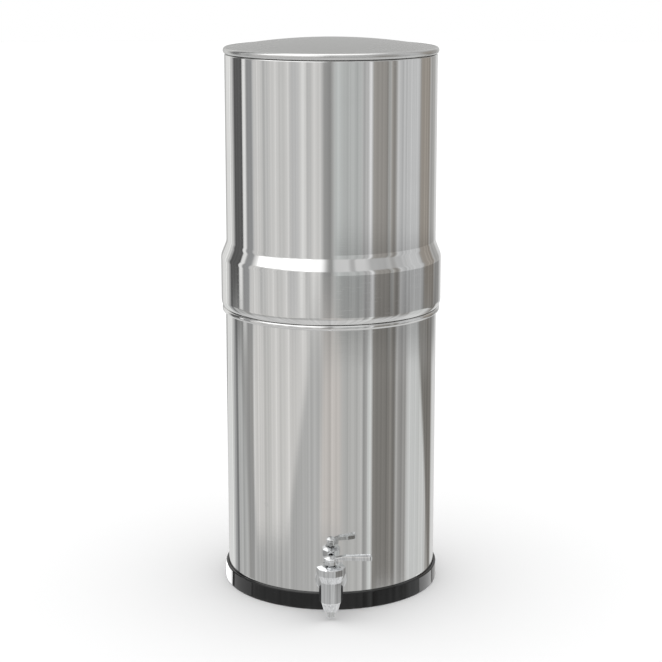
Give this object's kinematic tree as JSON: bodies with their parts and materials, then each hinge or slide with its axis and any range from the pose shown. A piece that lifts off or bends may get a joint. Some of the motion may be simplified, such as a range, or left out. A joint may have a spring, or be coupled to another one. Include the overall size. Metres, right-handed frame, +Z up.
{
  "type": "gravity water filter",
  "caption": "Tall round steel gravity water filter: upper chamber with ceramic candles standing in a lower chamber with a lever tap, domed lid and black base ring.",
  "frame": {"origin": "on the chambers' axis, in the plane of the base ring's foot", "axes": "+Z up along the chambers' axis, -Y towards the tap, +X along the closed lever"},
  "size_m": [0.2289, 0.2684, 0.5738],
  "materials": {
    "base_ring": "glossy black moulding",
    "polished_steel": "mirror-polished stainless steel",
    "lid_steel": "satin stainless steel",
    "plain_steel": "turned stainless steel",
    "tap_chrome": "bright chrome plating",
    "seal_rubber": "matte black rubber",
    "candle_ceramic": "unglazed porous ceramic",
    "candle_carbon": "pressed carbon",
    "white_plastic": "moulded white plastic"
  },
  "bodies": {
    "lower": {"base_ring": "base_ring", "lower_chamber": "polished_steel", "tap_body": "tap_chrome", "tap_nozzle": "tap_chrome", "tap_flange": "tap_chrome", "outer_seal": "seal_rubber", "inner_seal": "seal_rubber", "inner_washer": "plain_steel", "lock_nut": "plain_steel", "plug_circlip": "plain_steel"},
    "tap_handle": {"tap_lever": "tap_chrome", "lever_grub_screw": "plain_steel", "tap_plug": "tap_chrome", "plug_o_rings": "seal_rubber"},
    "upper": {"upper_chamber": "polished_steel", "candle_shell_left": "candle_ceramic", "candle_shell_right": "candle_ceramic", "carbon_core_left": "candle_carbon", "carbon_core_right": "candle_carbon", "candle_base_left": "white_plastic", "candle_base_right": "white_plastic", "candle_washer_left": "seal_rubber", "candle_washer_right": "seal_rubber", "wing_nut_left": "white_plastic", "wing_nut_right": "white_plastic"},
    "lid": {"lid": "lid_steel"}
  },
  "joints": [
    {"name": "tap_turn", "type": "hinge", "parent": "lower", "child": "tap_handle", "pos_m": [0, -0.14, 0.06], "axis": [0, 0, 1], "range_deg": [-90, 0]},
    {"name": "upper_lift", "type": "slide", "parent": "lower", "child": "upper", "axis": [0, 0, 1], "range_m": [0, 0.08]},
    {"name": "lid_lift", "type": "slide", "parent": "upper", "child": "lid", "axis": [0, 0, 1], "range_m": [0, 0.06]}
  ]
}
